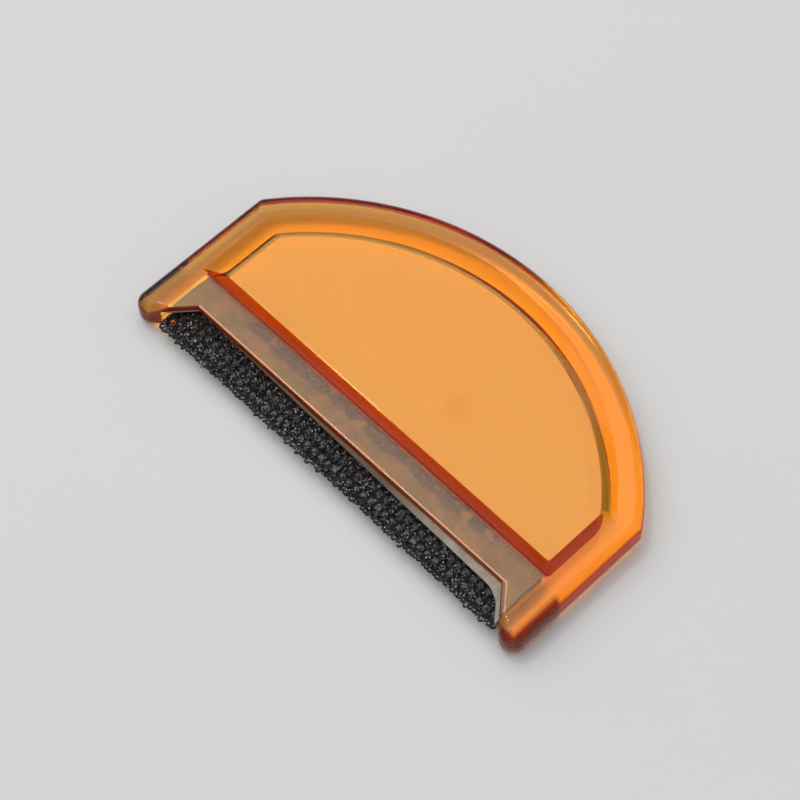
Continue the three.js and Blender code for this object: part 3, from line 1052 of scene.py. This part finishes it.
net = net_object("knotted_net")
tape = tape_object("binding_tape_cloth")
upper_bed = bed_object("upper_adhesive_bed")
lower_bed = turned_over(upper_bed, "lower_adhesive_bed")
black_mesh = net_thread()
woven_tape = tape_cloth()
adhesive = dried_glue()
for piece, node, finish, slot in (
    (net, "mesh_strip", black_mesh, "black_mesh"),
    (tape, "binding_tape", woven_tape, "woven_tape"),
    (upper_bed, "upper_adhesive", adhesive, "adhesive"),
    (lower_bed, "lower_adhesive", adhesive, "adhesive"),
):
    dress(settle(piece, FINE_SHARP), finish)
    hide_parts(node)

# Floor, light and camera

FLOOR_SIZE = 4.0
FLOOR_DROP = 0.00005

floor = make_object("floor", [
    (-FLOOR_SIZE, -FLOOR_SIZE, -FLOOR_DROP), (FLOOR_SIZE, -FLOOR_SIZE, -FLOOR_DROP),
    (FLOOR_SIZE, FLOOR_SIZE, -FLOOR_DROP), (-FLOOR_SIZE, FLOOR_SIZE, -FLOOR_DROP)], [(0, 1, 2, 3)])
floor.data.materials.append(table_top())

SKY_HIGH = 1.1
SKY_FALL = 2.0
HORIZON = 0.55
HORIZON_FALL = 4.0
world = bpy.data.worlds.new("studio")
bpy.context.scene.world = world
world.use_nodes = True
sky = world.node_tree


def sky_math(operation, *values):
    made = sky.nodes.new("ShaderNodeMath")
    made.operation = operation
    for socket, value in zip(made.inputs, values):
        feed(sky, socket, value)
    return made.outputs[0]


look = sky.nodes.new("ShaderNodeTexCoord")
split = sky.nodes.new("ShaderNodeSeparateXYZ")
sky.links.new(look.outputs["Generated"], split.inputs[0])
rise = sky_math("MAXIMUM", split.outputs["Z"], 0)
high = sky_math("MULTIPLY", sky_math("POWER", rise, SKY_FALL), SKY_HIGH)
low = sky_math("MULTIPLY", sky_math("POWER", sky_math("SUBTRACT", 1, rise), HORIZON_FALL), HORIZON)
sky.links.new(sky_math("ADD", high, low), sky.nodes["Background"].inputs["Color"])

LAMP_DISTANCE = 1.5
KEY_SIZE = 2.34
KEY_POWER = 14.4
KEY_FROM = Vector((-0.5, 0.0, 0.866))
CORE_SIZE = 0.2
CORE_POWER = 2.0
CORE_FROM = Vector((-0.37, 0.0, 0.93))


def lamp(name, size, power, source):
    """A disk lamp that shines at the part from a direction."""
    made = bpy.data.objects.new(name, bpy.data.lights.new(name, "AREA"))
    made.data.shape = "DISK"
    made.data.size = size
    made.data.energy = power
    made.location = source.normalized() * LAMP_DISTANCE
    made.rotation_euler = source.normalized().to_track_quat("Z", "Y").to_euler()
    bpy.context.scene.collection.objects.link(made)


lamp("key", KEY_SIZE, KEY_POWER, KEY_FROM)
lamp("key_core", CORE_SIZE, CORE_POWER, CORE_FROM)

AZIMUTH = math.radians(45.37)
ELEVATION = math.radians(59.56)
CAMERA_DISTANCE = 0.43853
TARGET = Vector((0, -0.0007, 0.003))
LENS = 112.5
SENSOR = 36
SHIFT = (-0.0343, -0.0273)
CLIP_START = 0.01
BACK = Vector((
    math.sin(AZIMUTH) * math.cos(ELEVATION),
    -math.cos(AZIMUTH) * math.cos(ELEVATION),
    math.sin(ELEVATION),
))
camera = bpy.data.objects.new("camera", bpy.data.cameras.new("camera"))
camera.data.lens = LENS
camera.data.sensor_width = SENSOR
camera.data.shift_x, camera.data.shift_y = SHIFT
camera.data.clip_start = CLIP_START
camera.location = TARGET + BACK * CAMERA_DISTANCE
camera.rotation_euler = BACK.to_track_quat("Z", "Y").to_euler()
bpy.context.scene.collection.objects.link(camera)
bpy.context.scene.camera = camera

# Clear plastic needs more bounces than the default
BOUNCES = 32
GLOSSY_BOUNCES = 16

scene = bpy.context.scene
scene.view_settings.view_transform = "Standard"
scene.cycles.max_bounces = BOUNCES
scene.cycles.transmission_bounces = BOUNCES
scene.cycles.glossy_bounces = GLOSSY_BOUNCES
scene.cycles.transparent_max_bounces = BOUNCES
